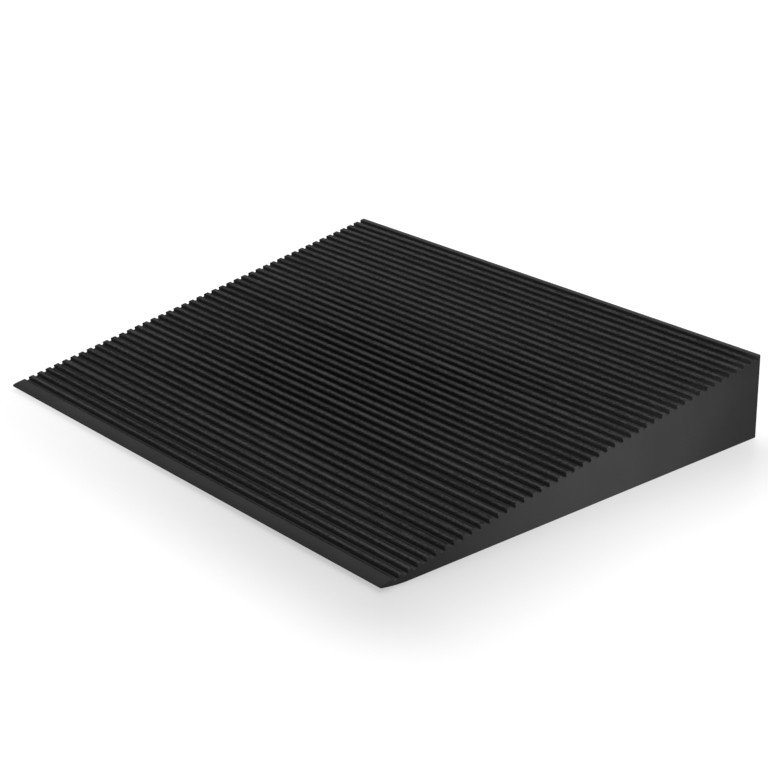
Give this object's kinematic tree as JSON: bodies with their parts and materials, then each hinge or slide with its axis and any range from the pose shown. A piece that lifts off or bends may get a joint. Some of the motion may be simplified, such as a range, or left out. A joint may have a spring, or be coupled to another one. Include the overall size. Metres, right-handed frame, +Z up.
{
  "type": "threshold ramp",
  "caption": "Wedge-shaped rubber threshold ramp with a cross-ribbed sloping tread, a thin smooth upturned nose, plain sides and a high rear face, bonded over a laminated foam core.",
  "frame": {"origin": "centre of the footprint, on the floor that the ramp rests on", "axes": "+X across the width, +Y from the nose to the high rear face, +Z up"},
  "size_m": [0.9, 0.72, 0.13],
  "materials": {
    "tread_rubber": "satin black moulded rubber",
    "skin_rubber": "smooth satin black rubber sheet",
    "base_rubber": "matt black non-slip rubber",
    "core_foam": "dark grey closed-cell foam"
  },
  "bodies": {
    "root": {"tread_mat": "tread_rubber", "core_lower": "core_foam", "core_middle": "core_foam", "core_upper": "core_foam", "base_mat": "base_rubber", "rear_facing": "skin_rubber", "left_side_skin": "skin_rubber", "right_side_skin": "skin_rubber"}
  },
  "joints": []
}
